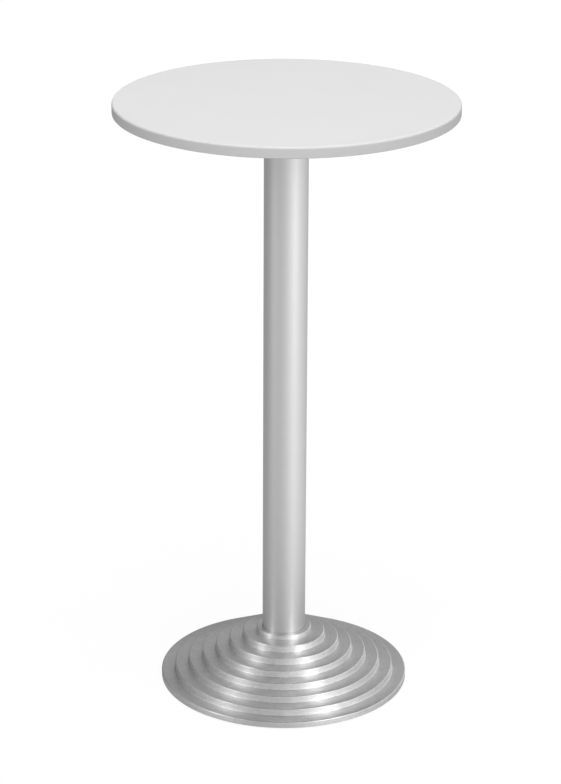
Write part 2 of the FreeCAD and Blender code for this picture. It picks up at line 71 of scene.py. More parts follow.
# A thread's section in pitches: its depth, where its corners lie along a turn, and how far
# below its lower cut it starts.
THREAD_DEPTH = 0.6
THREAD_CORNERS = (0.12, 0.46, 0.58, 0.92)
THREAD_LEAD = 1.015

# An M8 stud in millimetres: its thread's radius and pitch, how far the thread stays below the
# tip, its core's radius, and the radius and height of the core's point.
STUD_RADIUS = 4.0
STUD_PITCH = 1.25
STUD_BARE_TIP = 1.0
STUD_CORE = 3.2
STUD_POINT = (2.6, 0.8)

# How a hexagon's corners are turned off: the radius of the flat that stays, as a share of
# half the width across flats, the cone's slope and the share of its height that is cut.
HEX_FLAT = 0.97
HEX_SLOPE = math.radians(30)
HEX_CUT = 0.9

# Edges that turn by less than this are shaded smooth.
SMOOTH_ANGLE = math.radians(32)

# Vertices nearer than this, in metres, are one vertex.
WELD = 1e-6

# Between these values lies most of a noise, and nearly all of it.
NOISE_CORE = (0.35, 0.65)
NOISE_BODY = (0.3, 0.7)

Point = tuple[float, float, float]
Profile = Sequence[tuple[float, ...]]
Socket = bpy.types.NodeSocket
Thing = bpy.types.Object


class Slot(Enum):
    """Material slots."""

    BOARD = "lacquered_board"
    TUBE = "satin_aluminium_tube"
    TURNED = "turned_aluminium"
    IRON = "black_iron"
    ZINC = "zinc_steel"
    PLASTIC = "black_plastic"


class Join(Enum):
    """How two closed shapes are combined."""

    UNION = "UNION"
    CUT = "DIFFERENCE"
    COMMON = "INTERSECT"


@dataclass(frozen=True)
class Corner:
    """A corner of a turned profile, in millimetres, with the rounding it gets."""

    radius: float
    height: float
    soft: float = 0.0
    segments: int = 4


# --- shader trees ---------------------------------------------------------------------------


class Board:
    """A shader node tree that is being wired."""

    def __init__(self, tree: bpy.types.NodeTree) -> None:
        """Take over the tree of a material or of the world, emptied."""
        self.tree = tree
        tree.nodes.clear()

    def node(self, kind: str, values: Mapping[object, object] | Sequence[object] = (),
             **settings: object) -> bpy.types.Node:
        """Add a node and feed its inputs.

        Args:
            kind: the node's type name without its first words.
            values: sockets, numbers or tuples for its inputs, in order or by name.
            settings: properties of the node to set.

        Returns:
            The node.
        """
        made = self.tree.nodes.new(f"ShaderNode{kind}")
        for name, setting in settings.items():
            setattr(made, name, setting)
        for key, value in values.items() if isinstance(values, Mapping) else enumerate(values):
            if isinstance(value, Socket):
                self.tree.links.new(value, made.inputs[key])
            else:
                made.inputs[key].default_value = value
        return made

    def out(self, kind: str, values: Mapping[object, object] | Sequence[object] = (),
            **settings: object) -> Socket:
        """Add a node as node() does, for its first output."""
        return self.node(kind, values, **settings).outputs[0]

    def math(self, operation: str, *values: object) -> Socket:
        """Do arithmetic on sockets or numbers."""
        return self.out("Math", values, operation=operation)

    def weigh(self, *parts: tuple[object, object]) -> Socket:
        """Add up values, each times its share.

        Args:
            parts: pairs of a value and its share, as sockets or numbers.

        Returns:
            The sum's socket.
        """
        total = self.math("MULTIPLY", *parts[0])
        for part in parts[1:]:
            total = self.math("ADD", total, self.math("MULTIPLY", *part))
        return total

    def split(self, vector: Socket) -> tuple[Socket, ...]:
        """The x, y and z sockets of a vector."""
        return tuple(self.node("SeparateXYZ", (vector,)).outputs)

    def coordinates(self, kind: str) -> Socket:
        """A texture coordinate by its name."""
        return self.node("TexCoord").outputs[kind]

    def noise(self, vector: Socket, scale: float, detail: float = 2.0) -> Socket:
        """A noise pattern, about 0.5 on average."""
        return self.out("TexNoise", {"Vector": vector, "Scale": scale, "Detail": detail})

    def span(self, value: Socket, low: float, high: float, floor: float = 0.0,
             top: float = 1.0) -> Socket:
        """Map low to floor and high to top, clamped at both."""
        return self.out("MapRange", {"Value": value, "From Min": low, "From Max": high,
                                     "To Min": floor, "To Max": top})

    def pass_by(self, share: Socket, first: object, second: object) -> Socket:
        """Go from one number to another as the share goes from 0 to 1."""
        return self.out("Mix", {0: share, 2: first, 3: second})

    def blend(self, share: Socket, first: object, second: object) -> Socket:
        """Go from one colour to another as the share goes from 0 to 1."""
        return self.out("MixRGB", (share, first, second))

    def bump(self, height: Socket, distance: float, strength: float = 1.0) -> Socket:
        """Turn a pattern, a full step of it distance metres high, into a normal."""
        return self.out("Bump", {"Height": height, "Distance": distance, "Strength": strength})


def grey(level: float) -> tuple[float, float, float, float]:
    """A grey in linear light."""
    return (level, level, level, 1.0)


# --- finishes -------------------------------------------------------------------------------


@dataclass(frozen=True)
class Finish:
    """A surface finish: its name and slot, its grey in linear light and how it shines."""

    name: str
    slot: Slot
    level: float
    blue: float = 0.0
    metallic: float = 0.0
    roughness: float = 0.5

    def color(self, board: Board, tone: Socket, ends: tuple[float, float], dark: float,
              light: float) -> Socket:
        """The finish's colour where a pattern makes it darker and lighter.

        Args:
            board: the material's tree.
            tone: the pattern.
            ends: its values where the colour is darkest and lightest.
            dark: the darkest level, as a share of the finish's own.
            light: the lightest level, as a share of the finish's own.

        Returns:
            The colour's socket.
        """
        level = board.span(tone, *ends, self.level * dark, self.level * light)
        bluer = board.math("MULTIPLY", level, 1 + self.blue)
        return board.out("CombineXYZ", (level, level, bluer))

    def shader(self, board: Board, **links: object) -> None:
        """Add the surface shader and the output.

        Args:
            board: the material's tree.
            links: values or sockets for inputs, each named with _ for a space.
        """
        values = {name.replace("_", " "): value for name, value in links.items()}
        surface = board.out("BsdfPrincipled", {"Metallic": self.metallic, **values})
        board.node("OutputMaterial", {"Surface": surface})

    def paint(self, board: Board) -> None:
        """Wire the finish into a material's empty tree; each kind of finish has its own way."""
        raise NotImplementedError

    def material(self) -> bpy.types.Material:
        """The finish as a material, made once.

        Returns:
            The material.
        """
        made = bpy.data.materials.get(self.name)
        if made is None:
            made = bpy.data.materials.new(self.name)
            made.use_nodes = True
            self.paint(Board(made.node_tree))
        return made


@dataclass(frozen=True)
class TurnedMetal(Finish):
    """Aluminium worked on a lathe: grooves and streaks run round the axis, over a faint mottle.

    Its shine is drawn out across the grooves, and flat faces may shine more than upright ones.
    """

    metallic: float = 1.0
    flat_roughness: float = 0.34
    flat_from: tuple[float, float] = (0.15, 0.85)
    stretch: float = 0.8
    groove: float = 0.0005
    groove_depth: float = 0.000010
    groove_breaks: float = 4.0
    streak: float = 0.0022
    streak_depth: float = 0.00012
    streak_breaks: float = 14.0
    mottle: float = 300.0
    mottle_depth: float = 0.00024
    cloud: float = 0.10

    def ringed(self, board: Board, place: Socket, step: float, breaks: float) -> Socket:
        """A noise drawn out into rings round the axis.

        Args:
            board: the material's tree.
            place: Object coordinates.
            step: how far apart the rings are, in metres.
            breaks: how often a ring changes on its way round.

        Returns:
            The pattern's socket.
        """
        x, y, z = board.split(place)
        radius = board.math("SQRT", board.weigh((x, x), (y, y)))
        across = board.math("DIVIDE", board.math("SUBTRACT", radius, z), step)
        around = [board.math("MULTIPLY", board.math("DIVIDE", part, radius), breaks)
                  for part in (x, y)]
        return board.noise(board.out("CombineXYZ", (across, *around)), 1.0)

    def paint(self, board: Board) -> None:
        """Wire grooves, streaks, mottle and clouds.

        Args:
            board: the material's empty tree.
        """
        place = board.coordinates("Object")
        fine = self.ringed(board, place, self.groove, self.groove_breaks)
        streaks = self.ringed(board, place, self.streak, self.streak_breaks)
        mottle = board.noise(place, self.mottle, 3.0)
        clouds = board.noise(place, self.mottle / 5)
        tone = board.weigh((streaks, 0.35), (mottle, 0.4), (clouds, 0.25))
        upright = board.math("ABSOLUTE", board.split(board.coordinates("Normal"))[2])
        worked = board.span(board.weigh((streaks, 0.5), (mottle, 0.5)), *NOISE_CORE, 0.92, 1.08)
        rough = board.span(upright, *self.flat_from, self.roughness, self.flat_roughness)
        height = board.weigh((fine, self.groove_depth), (streaks, self.streak_depth),
                             (mottle, self.mottle_depth))
        self.shader(
            board, Base_Color=self.color(board, tone, NOISE_CORE, 1 - self.cloud, 1 + self.cloud),
            Roughness=board.math("MULTIPLY", worked, rough), Anisotropic=self.stretch,
            Anisotropic_Rotation=0.25, Normal=board.bump(height, 1.0),
            Tangent=board.out("Tangent", direction_type="RADIAL", axis="Z"))


@dataclass(frozen=True)
class CastSkin(Finish):
    """A surface as it leaves the mould, painted or bare: grainy, with soft hollows."""

    grain: float = 900.0
    grain_depth: float = 0.00016
    swell: float = 55.0
    shade: float = 0.25

    def paint(self, board: Board) -> None:
        """Wire sandy grain over a slow swell.

        Args:
            board: the material's empty tree.
        """
        place = board.coordinates("Object")
        sand = board.noise(place, self.grain, 3.0)
        slow = board.noise(place, self.swell, 3.0)
        tone = board.weigh((sand, 0.4), (slow, 0.6))
        height = board.weigh((sand, 1.0), (slow, 2.0))
        self.shader(
            board, Base_Color=self.color(board, tone, NOISE_BODY, 1 - self.shade, 1 + self.shade),
            Roughness=board.span(slow, *NOISE_BODY, self.roughness * 0.9, self.roughness * 1.12),
            Normal=board.bump(height, self.grain_depth, 0.7))


@dataclass(frozen=True)
class Lacquer(Finish):
    """Sprayed matt lacquer: almost even, with the faint texture that a spray gun leaves."""

    gloss: float = 0.1
    peel: float = 700.0
    peel_depth: float = 0.00002
    drift: float = 9.0
    pores: float = 2600.0

    def paint(self, board: Board) -> None:
        """Wire a fine orange peel and a very faint change of tone.

        Args:
            board: the material's empty tree.
        """
        place = board.coordinates("Object")
        drift = board.noise(place, self.drift)
        tone = board.weigh((drift, 0.7), (board.noise(place, self.pores, 1.0), 0.3))
        self.shader(
            board, Base_Color=self.color(board, tone, NOISE_BODY, 0.992, 1.008),
            Roughness=board.span(drift, *NOISE_BODY, self.roughness - 0.03, self.roughness + 0.03),
            Specular_IOR_Level=self.gloss,
            Normal=board.bump(board.noise(place, self.peel), self.peel_depth, 0.5))


@dataclass(frozen=True)
class Plating(Finish):
    """Bright zinc on steel: cloudy crystals and light handling marks."""

    metallic: float = 1.0
    crystals: float = 420.0
    marks: float = 140.0
    skin: float = 1500.0
    skin_depth: float = 0.00002

    def paint(self, board: Board) -> None:
        """Wire the crystals' clouds and a fine unevenness.

        Args:
            board: the material's empty tree.
        """
        place = board.coordinates("Object")
        crystals = board.out("TexVoronoi", {"Vector": place, "Scale": self.crystals})
        marks = board.noise(place, self.marks, 3.0)
        tone = board.weigh((crystals, 0.5), (marks, 0.7))
        self.shader(
            board, Base_Color=self.color(board, tone, (0.3, 0.9), 0.88, 1.06),
            Roughness=board.span(marks, *NOISE_BODY, self.roughness * 0.85, self.roughness * 1.25),
            Normal=board.bump(board.noise(place, self.skin), self.skin_depth, 0.5))


@dataclass(frozen=True)
class Moulded(Finish):
    """Moulded plastic with a spark-eroded grain."""

    grain: float = 1800.0
    grain_depth: float = 0.00006
    scuff: float = 160.0

    def paint(self, board: Board) -> None:
        """Wire the grain of the mould and faint scuffs.

        Args:
            board: the material's empty tree.
        """
        place = board.coordinates("Object")
        scuff = board.noise(place, self.scuff, 4.0)
        self.shader(
            board, Base_Color=self.color(board, scuff, (0.35, 0.75), 0.9, 1.5),
            Roughness=board.span(scuff, *NOISE_BODY, self.roughness - 0.06, self.roughness + 0.08),
            Normal=board.bump(board.noise(place, self.grain), self.grain_depth, 0.7))


BOARD_LACQUER = Lacquer("board_lacquer", Slot.BOARD, level=0.78, roughness=0.7)
TUBE_SATIN = TurnedMetal(
    "tube_satin", Slot.TUBE, level=0.62, roughness=0.42, flat_roughness=0.42, stretch=0.6,
    groove=0.0003, groove_depth=0.000002, streak_depth=0.000004, mottle=260.0,
    mottle_depth=0.000012, cloud=0.015)
BASE_TURNED = TurnedMetal("base_turned", Slot.TURNED, level=0.77, roughness=0.46)
BASE_CAST = CastSkin("base_cast_skin", Slot.TURNED, level=0.36, blue=0.01, metallic=1.0,
                     roughness=0.62)
IRON_COAT = CastSkin("iron_powder_coat", Slot.IRON, level=0.035, grain=600.0,
                     grain_depth=0.0002, shade=0.3)
FASTENER_ZINC = Plating("fastener_zinc", Slot.ZINC, level=0.6, blue=0.03, roughness=0.3)
FOOT_PLASTIC = Moulded("foot_plastic", Slot.PLASTIC, level=0.022, roughness=0.55)


# --- the bench ------------------------------------------------------------------------------


class Bench:
    """Modelling as by hand: one active object, operators, and selection by place."""

    @staticmethod
    def clear() -> None:
        """Leave edit mode and select nothing."""
        if bpy.context.object is not None and bpy.context.object.mode != "OBJECT":
            bpy.ops.object.mode_set(mode="OBJECT")
        bpy.ops.object.select_all(action="DESELECT")

    @staticmethod
    def take(*things: Thing) -> None:
        """Select some objects only, with the first one active.

        Args:
            things: the objects.
        """
        Bench.clear()
        for thing in things:
            thing.select_set(True)
        bpy.context.view_layer.objects.active = things[0]

    @staticmethod
    def named(name: str) -> Thing:
        """Name the active object and its mesh."""
        bpy.context.object.name = bpy.context.object.data.name = name
        return bpy.context.object

    @staticmethod
    def edit(thing: Thing) -> None:
        """Open an object for editing with nothing of its mesh selected.

        Args:
            thing: the object.
        """
        Bench.take(thing)
        bpy.ops.object.mode_set(mode="EDIT")
        bpy.ops.mesh.select_all(action="DESELECT")

    @staticmethod
    def whole() -> None:
        """Select all of the open mesh."""
        bpy.ops.mesh.select_all(action="SELECT")

    @staticmethod
    def pick(test: Callable[[Vector], bool], faces: bool = False) -> None:
        """Select vertices, or faces by their middles, in the open mesh.

        Args:
            test: says of a place, in metres, if what lies there is wanted.
            faces: whether faces are meant.
        """
        bpy.ops.mesh.select_mode(type="FACE" if faces else "VERT")
        mesh = bmesh.from_edit_mesh(bpy.context.object.data)
        for item in mesh.faces if faces else mesh.verts:
            item.select_set(test(item.calc_center_median() if faces else item.co))
        mesh.select_flush_mode()
        bmesh.update_edit_mesh(bpy.context.object.data)

    @staticmethod
    def close() -> Thing:
        """Weld, drop what belongs to no face, turn all faces outwards and leave the mesh.

        Returns:
            The object that was open.
        """
        Bench.whole()
        bpy.ops.mesh.remove_doubles(threshold=WELD)
        bpy.ops.mesh.dissolve_degenerate(threshold=WELD)
        bpy.ops.mesh.delete_loose(use_verts=True, use_edges=True, use_faces=False)
        Bench.whole()
        bpy.ops.mesh.normals_make_consistent(inside=False)
        bpy.ops.object.mode_set(mode="OBJECT")
        return bpy.context.object

    @staticmethod
    def mended(thing: Thing) -> Thing:
        """Open and close a shape again."""
        Bench.edit(thing)
        return Bench.close()

    @staticmethod
    def start_wire(name: str) -> Thing:
        """An open mesh of one selected vertex at the origin.

        Args:
            name: the object's name.

        Returns:
            The object, in edit mode.
        """
        Bench.clear()
        bpy.ops.mesh.primitive_plane_add(size=MM, location=(0, 0, 0))
        thing = Bench.named(name)
        bpy.ops.object.mode_set(mode="EDIT")
        Bench.whole()
        bpy.ops.mesh.merge(type="CENTER")
        bpy.ops.mesh.select_mode(type="VERT")
        Bench.whole()
        return thing

    @staticmethod
    def run_wire(points: Sequence[Point], closed: bool = True) -> None:
        """Draw a wire through points by extruding the selected vertex from one to the next.

        Args:
            points: the wire's corners, in metres.
            closed: whether its end joins its start.
        """
        here = Vector(points[0])
        bpy.ops.transform.translate(value=here)
        for point in points[1:]:
            step = Vector(point) - here
            bpy.ops.mesh.extrude_region_move(TRANSFORM_OT_translate={"value": step})
            here = Vector(point)
        if closed:
            ends = (Vector(points[0]), Vector(points[-1]))
            Bench.pick(lambda place: any((place - end).length < WELD for end in ends))
            bpy.ops.mesh.edge_face_add()

    @staticmethod
    def turned(name: str, profile: Profile, steps: int = SMALL_STEPS) -> Thing:
        """Turn a closed profile about the upright axis.

        Args:
            name: the object's name.
            profile: what makes each Corner, in order.
            steps: segments of the full turn.

        Returns:
            The turned piece.
        """
        Bench.start_wire(name)
        corners = [Corner(*each) for each in profile]
        places = [Vector((corner.radius * MM, 0.0, corner.height * MM)) for corner in corners]
        Bench.run_wire(places)
        for rounding in sorted({(each.soft, each.segments) for each in corners if each.soft}):
            spots = [place for place, corner in zip(places, corners)
                     if (corner.soft, corner.segments) == rounding]
            Bench.pick(lambda place: any((place - spot).length < WELD for spot in spots))
            bpy.ops.mesh.bevel(offset_type="OFFSET", offset=rounding[0] * MM, segments=rounding[1],
                               affect="VERTICES", clamp_overlap=False)
        Bench.whole()
        bpy.ops.mesh.spin(steps=steps, angle=math.tau, use_auto_merge=True, center=(0, 0, 0),
                          axis=(0, 0, 1))
        return Bench.close()

    @staticmethod
    def ring(name: str, inner: float, outer: float, low: float, high: float, softs: Profile = (),
             steps: int = SMALL_STEPS) -> Thing:
        """Turn a plain ring, or a bar where the inner radius is 0.

        Args:
            name: the object's name.
            inner: radius of its bore, in millimetres.
            outer: its radius, in millimetres.
            low: its lower end, in millimetres.
            high: its upper end, in millimetres.
            softs: rounding and its segments for each corner, () for a sharp one, in the order
                of the profile: bore low, outside low, outside high, bore high.
            steps: segments of the full turn.

        Returns:
            The ring.
        """
        corners = ((inner, low), (outer, low), (outer, high), (inner, high))
        return Bench.turned(name, [corner + tuple(soft) for corner, soft in zip_longest(
            corners, softs, fillvalue=())], steps)

    @staticmethod
    def rod_thread(radius: float, pitch: float, low: float, high: float) -> Thing:
        """Cut a length of screw thread, flat at both ends.

        Args:
            radius: over the crests, in millimetres.
            pitch: rise of a turn, in millimetres.
            low: lower end, in millimetres.
            high: upper end, in millimetres.

        Returns:
            The thread.
        """
        thing = Bench.start_wire("thread")
        root, crest = (radius - THREAD_DEPTH * pitch) * MM, radius * MM
        start = (low - THREAD_LEAD * pitch) * MM
        rise = pitch * MM
        corners = zip((root, root, crest, crest, root, root), (0, *THREAD_CORNERS, 1))
        Bench.run_wire([(reach, 0, start + share * rise) for reach, share in corners], closed=False)
        bpy.ops.object.mode_set(mode="OBJECT")
        screw = thing.modifiers.new("helix", "SCREW")
        screw.steps = screw.render_steps = THREAD_STEPS
        screw.screw_offset = rise
        screw.iterations = math.ceil((high - low) / pitch) + 2
        screw.use_merge_vertices = True
        screw.merge_threshold = WELD
        Bench.edit(Bench.apply(thing))
        for height, keep_above in ((low, True), (high, False)):
            Bench.whole()
            bpy.ops.mesh.remove_doubles(threshold=WELD)
            Bench.whole()
            bpy.ops.mesh.bisect(plane_co=(0, 0, height * MM), plane_no=(0, 0, 1), use_fill=True,
                                clear_inner=keep_above, clear_outer=not keep_above,
                                threshold=WELD / 10)
        return Bench.close()

    @staticmethod
    def stud(foot: float, start: float, tip: float) -> list[Thing]:
        """An M8 stud.

        Args:
            foot: lower end of its core, in millimetres.
            start: lower end of its thread, in millimetres.
            tip: its upper end, in millimetres.

        Returns:
            Its core and its thread.
        """
        point, drop = STUD_POINT
        core = [(0, foot), (STUD_CORE, foot), (STUD_CORE, tip - drop), (point, tip), (0, tip)]
        return [Bench.turned("stud", core, THREAD_STEPS),
                Bench.rod_thread(STUD_RADIUS, STUD_PITCH, start, tip - STUD_BARE_TIP)]

    @staticmethod
    def hexagon(name: str, flats: float, low: float, high: float) -> Thing:
        """A hexagon bar whose corners are turned off at both ends, as on nuts and bolt heads.

        Args:
            name: the object's name.
            flats: width across flats, in millimetres.
            low: lower end, in millimetres.
            high: upper end, in millimetres.

        Returns:
            The hexagon.
        """
        Bench.clear()
        corner = flats / math.sqrt(3)
        bpy.ops.mesh.primitive_cylinder_add(
            vertices=6, radius=corner * MM, depth=(high - low) * MM,
            location=(0, 0, (low + high) / 2 * MM), rotation=(0, 0, math.pi / 6))
        thing = Bench.settle(Bench.named(name))
        face, past = flats / 2 * HEX_FLAT, corner + 0.2
        drop = (corner - face) * math.tan(HEX_SLOPE) * HEX_CUT
        envelope = Bench.turned("envelope", [(0, low), (face, low), (past, low + drop),
                                             (past, high - drop), (face, high), (0, high)])
        return Bench.combine(thing, envelope, Join.COMMON)

    @staticmethod
    def block(name: str, middle: Point, size: Point) -> None:
        """Add a box and open it for editing.

        Args:
            name: the object's name.
            middle: its middle, in millimetres.
            size: its length, width and height, in millimetres.
        """
        Bench.clear()
        bpy.ops.mesh.primitive_cube_add(size=MM, location=[each * MM for each in middle])
        thing = Bench.named(name)
        thing.scale = size
        Bench.edit(Bench.settle(thing))

    @staticmethod
    def settle(thing: Thing) -> Thing:
        """Move an object's place, turn and scale into its mesh.

        Args:
            thing: the object.

        Returns:
            The same object.
        """
        Bench.take(thing)
        bpy.ops.object.transform_apply(location=True, rotation=True, scale=True)
        return thing

    @staticmethod
    def apply(thing: Thing) -> Thing:
        """Apply all modifiers of an object.

        Args:
            thing: the object.

        Returns:
            The same object.
        """
        Bench.take(thing)
        for modifier in list(thing.modifiers):
            bpy.ops.object.modifier_apply(modifier=modifier.name)
        return thing

    @staticmethod
    def combine(thing: Thing, other: Thing, how: Join) -> Thing:
        """Combine two closed shapes; the other one is used up.

        Args:
            thing: the shape that stays.
            other: the shape to add, take away or share.
            how: which of these.

        Returns:
            The combined shape.
        """
        boolean = thing.modifiers.new("combine", "BOOLEAN")
        boolean.object = other
        boolean.operation = how.value
        boolean.solver = "EXACT"
        Bench.apply(thing)
        bpy.data.objects.remove(other, do_unlink=True)
        return Bench.mended(thing)

    @staticmethod
    def copy(thing: Thing) -> Thing:
        """Copy an object with a mesh of its own.

        Args:
            thing: the object.

        Returns:
            The copy.
        """
        Bench.take(thing)
        bpy.ops.object.duplicate(linked=False)
        return bpy.context.object

    @staticmethod
    def copy_round(thing: Thing, angles: Sequence[float] = QUARTERS) -> list[Thing]:
        """Copy a shape round the upright axis.

        Args:
            thing: the shape, which stays where it is.
            angles: where the copies go, in degrees from the shape.

        Returns:
            The shape and its copies.
        """
        made = [thing]
        for angle in angles:
            made.append(Bench.copy(thing))
            Bench.edit(made[-1])
            Bench.whole()
            bpy.ops.transform.rotate(value=-math.radians(angle), orient_axis="Z",
                                     center_override=(0, 0, 0))
            bpy.ops.object.mode_set(mode="OBJECT")
        return made

    @staticmethod
    def shift(thing: Thing, x: float, y: float = 0.0) -> Thing:
        """Move a shape, in its mesh.

        Args:
            thing: the shape.
            x: how far along x, in millimetres.
            y: how far along y, in millimetres.

        Returns:
            The same shape.
        """
        Bench.edit(thing)
        Bench.whole()
        bpy.ops.transform.translate(value=(x * MM, y * MM, 0))
        bpy.ops.object.mode_set(mode="OBJECT")
        return thing

    @staticmethod
    def joined(things: Sequence[Thing]) -> Thing:
        """Make several shapes one object.

        Args:
            things: the shapes; the first gives the name.

        Returns:
            The object.
        """
        Bench.take(*things)
        bpy.ops.object.join()
        return things[0]

    @staticmethod
    def smooth(thing: Thing) -> None:
        """Shade an object smooth except over sharp edges, with its flats kept flat.

        Args:
            thing: the object.
        """
        Bench.take(thing)
        bpy.ops.object.shade_smooth_by_angle(angle=SMOOTH_ANGLE)
        weighted = thing.modifiers.new("weigh", "WEIGHTED_NORMAL")
        weighted.mode = "FACE_AREA"
        weighted.keep_sharp = True
        Bench.apply(thing)


def deliver(piece: Thing, finish: Finish, node: str, body: str = "table") -> None:
    """Dress a finished piece and hand it to the frame.

    Args:
        piece: the piece, at rest and in place.
        finish: its main finish.
        node: the CAD node it stands for.
        body: the CAD body it rides on.
    """
    Bench.smooth(piece)
    if not piece.data.materials:
        piece.data.materials.append(finish.material())
    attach(piece, body)
    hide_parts(node)
    LOG.info("%s stands for %s, %d faces", piece.name, node, len(piece.data.polygons))


# --- sub-assemblies ---------------------------------------------------------------------------


@dataclass
class TableTop:
    """The lacquered round board."""

    radius: float = 300.0
    underside: float = 1070.5
    upper: float = 1090.0
    upper_soft: float = 4.0
    lower_soft: float = 1.2
    lower_flat: float = 294.0
    upper_flat: float = 291.0
    inner_ring: float = 30.0

    def build(self) -> None:
        """Turn the board and lacquer it."""
        board = Bench.turned("top_board", [
            (0, self.underside), (self.inner_ring, self.underside),
            (self.lower_flat, self.underside), (self.radius, self.underside, self.lower_soft, 3),
            (self.radius, self.upper, self.upper_soft, 10), (self.upper_flat, self.upper),
            (self.inner_ring, self.upper), (0, self.upper)], BROAD_STEPS)
        deliver(board, BOARD_LACQUER, "table_top")


@dataclass
class Spider:
    """The cast cross under the board, with its wood screws."""

    underside: float = 1070.5
    hub_radius: float = 46.0
    hub_depth: float = 14.0
    spigot_radius: float = 36.8
    spigot_foot: float = 1042.5
    pocket_radius: float = 20.0
    pocket_depth: float = 17.0
    rod_hole: float = 6.5
    arm_root: float = 35.0
    arm_tip: float = 150.0
    arm_width: float = 30.0
    arm_thickness: float = 6.0
    rib_root: float = 36.0
    rib_end: float = 135.0
    rib_thickness: float = 4.0
    rib_tip_depth: float = 9.0
    screw_places: tuple[float, float] = (84.0, 134.0)
    screw_hole: float = 2.75
    screw_length: float = 16.0
    screw_pitch: float = 1.8
    screw_point: float = 3.0
    screw_core: float = 0.7
    screw_bare: tuple[float, float] = (1.5, 3.5)
    head_radius: float = 4.5
    head_height: float = 2.8
    shank_radius: float = 2.25
    recess_bar: Point = (4.6, 0.9, 3.0)
    recess_middle: float = 0.6
    recess_taper: float = 0.45
    edge_soft: float = 0.9
    hair: float = 0.01

    def build(self) -> None:
        """Model the cross and the screws."""
        deliver(self.cross(), IRON_COAT, "top_spider")
        deliver(self.screws(), FASTENER_ZINC, "spider_screws")

    def hub(self) -> Thing:
        """The hub with its spigot and the pocket for the rod's nut."""
        top, ledge, floor = (self.underside - depth
                             for depth in (0, self.hub_depth, self.pocket_depth))
        return Bench.turned("spider_cross", [
            (self.pocket_radius, top), (self.hub_radius, top), (self.hub_radius, ledge, 1.2, 3),
            (self.spigot_radius, ledge), (self.spigot_radius, self.spigot_foot, 1.0, 3),
            (self.rod_hole, self.spigot_foot), (self.rod_hole, floor),
            (self.pocket_radius, floor)], SMALL_STEPS * 2)

    def plate(self) -> Thing:
        """One arm's flat, round at its tip.

        Returns:
            The plate.
        """
        Bench.clear()
        middle = (self.arm_root + self.arm_tip) / 2
        bpy.ops.mesh.primitive_plane_add(size=MM, location=(middle * MM, 0, self.underside * MM))
        plate = Bench.named("arm_plate")
        plate.scale = (self.arm_tip - self.arm_root, self.arm_width, 1)
        Bench.edit(Bench.settle(plate))
        Bench.pick(lambda place: place.x > middle * MM)
        bpy.ops.mesh.bevel(offset=(self.arm_width / 2 - self.hair) * MM, segments=12,
                           affect="VERTICES", clamp_overlap=False)
        Bench.whole()
        down = (0, 0, -self.arm_thickness * MM)
        bpy.ops.mesh.extrude_region_move(TRANSFORM_OT_translate={"value": down})
        return Bench.close()

    def rib(self, side: int) -> Thing:
        """A stiffening rib along one side of an arm, tapering to its tip.

        Args:
            side: -1 or 1, the side of the arm.

        Returns:
            The rib.
        """
        top = self.underside - self.arm_thickness / 2
        foot = self.underside - self.hub_depth
        aside = side * (self.arm_width - self.rib_thickness) / 2
        middle = (self.rib_root + self.rib_end) / 2
        Bench.block("arm_rib", (middle, aside, (top + foot) / 2),
                    (self.rib_end - self.rib_root, self.rib_thickness - 2 * self.hair, top - foot))
        Bench.pick(lambda place: place.x > middle * MM and place.z < (top + foot) / 2 * MM)
        bpy.ops.transform.translate(value=(0, 0, (self.hub_depth - self.rib_tip_depth) * MM))
        return Bench.close()

    def cross(self) -> Thing:
        """The whole cross: hub and four arms in one casting, with eased edges.

        Returns:
            The cross.
        """
        arm = self.plate()
        for side in (-1, 1):
            arm = Bench.combine(arm, self.rib(side), Join.UNION)
        for place in self.screw_places:
            hole = Bench.ring("arm_hole", 0, self.screw_hole, self.underside - 20,
                              self.underside + 5, steps=24)
            arm = Bench.combine(arm, Bench.shift(hole, place), Join.CUT)
        cross = self.hub()
        for each in Bench.copy_round(arm):
            cross = Bench.combine(cross, each, Join.UNION)
        Bench.edit(cross)
        Bench.whole()
        bpy.ops.mesh.dissolve_limited(angle_limit=math.radians(1))
        bpy.ops.object.mode_set(mode="OBJECT")
        eased = cross.modifiers.new("eased", "BEVEL")
        eased.width = self.edge_soft * MM
        eased.segments = 2
        eased.limit_method = "ANGLE"
        eased.angle_limit = math.radians(50)
        return Bench.mended(Bench.apply(cross))

    def screws(self) -> Thing:
        """The wood screws: pan heads with a cross recess, threaded to the point.

        Returns:
            All eight screws.
        """
        seat = self.underside - self.arm_thickness
        face, tip = seat - self.head_height, seat + self.screw_length
        core = self.shank_radius * self.screw_core
        head = Bench.turned("arm_screws", [
            (0, face), (self.head_radius, face, 1.6, 5), (self.head_radius, seat), (core, seat),
            (core, tip - self.screw_point), (0, tip)], 40)
        head = Bench.combine(head, self.recess(face), Join.CUT)
        below, above = self.screw_bare
        thread = Bench.rod_thread(self.shank_radius, self.screw_pitch, seat + below, tip - above)
        inner, outer = self.screw_places
        screw = Bench.shift(Bench.joined([head, thread]), inner)
        pair = Bench.joined([screw, Bench.shift(Bench.copy(screw), outer - inner)])
        return Bench.joined(Bench.copy_round(pair))

    def recess(self, face: float) -> Thing:
        """The cutter of a cross recess in a screw's head.

        Args:
            face: height of the head's outer face, in millimetres.

        Returns:
            The cutter.
        """
        bars = []
        length, width, height = self.recess_bar
        middle = face + self.recess_middle
        for size in ((length, width, height), (width, length, height)):
            Bench.block("recess_bar", (0, 0, middle), size)
            Bench.pick(lambda place: place.z > middle * MM)
            bpy.ops.transform.resize(value=(self.recess_taper, self.recess_taper, 1.0))
            bars.append(Bench.close())
        return Bench.combine(*bars, Join.UNION)


